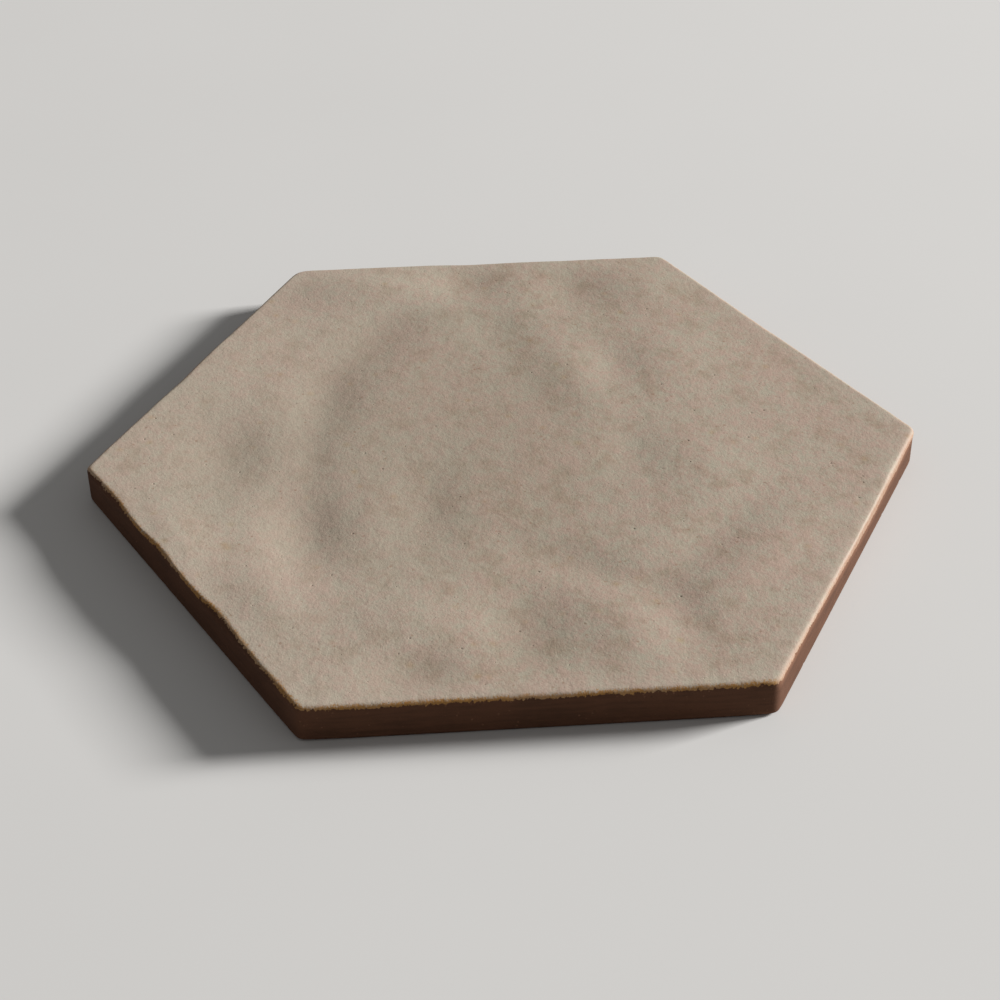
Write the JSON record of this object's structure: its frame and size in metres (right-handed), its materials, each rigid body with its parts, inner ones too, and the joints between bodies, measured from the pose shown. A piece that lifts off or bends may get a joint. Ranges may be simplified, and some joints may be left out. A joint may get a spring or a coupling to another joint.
{
  "type": "hexagonal ceramic floor tile",
  "caption": "Hexagonal clay floor tile with a matte greige glaze, a gently waved hand-pressed face, a soft rim and bare terracotta sides.",
  "frame": {"origin": "centre of the flat back, on the surface that the tile lies on", "axes": "+Z out of the glazed face; +X from corner to opposite corner; +Y square to two straight sides"},
  "size_m": [0.1994, 0.1732, 0.0105],
  "materials": {
    "glazed_clay": "matte glaze over red clay"
  },
  "bodies": {
    "root": {"hexagon_tile": "glazed_clay"}
  },
  "joints": []
}
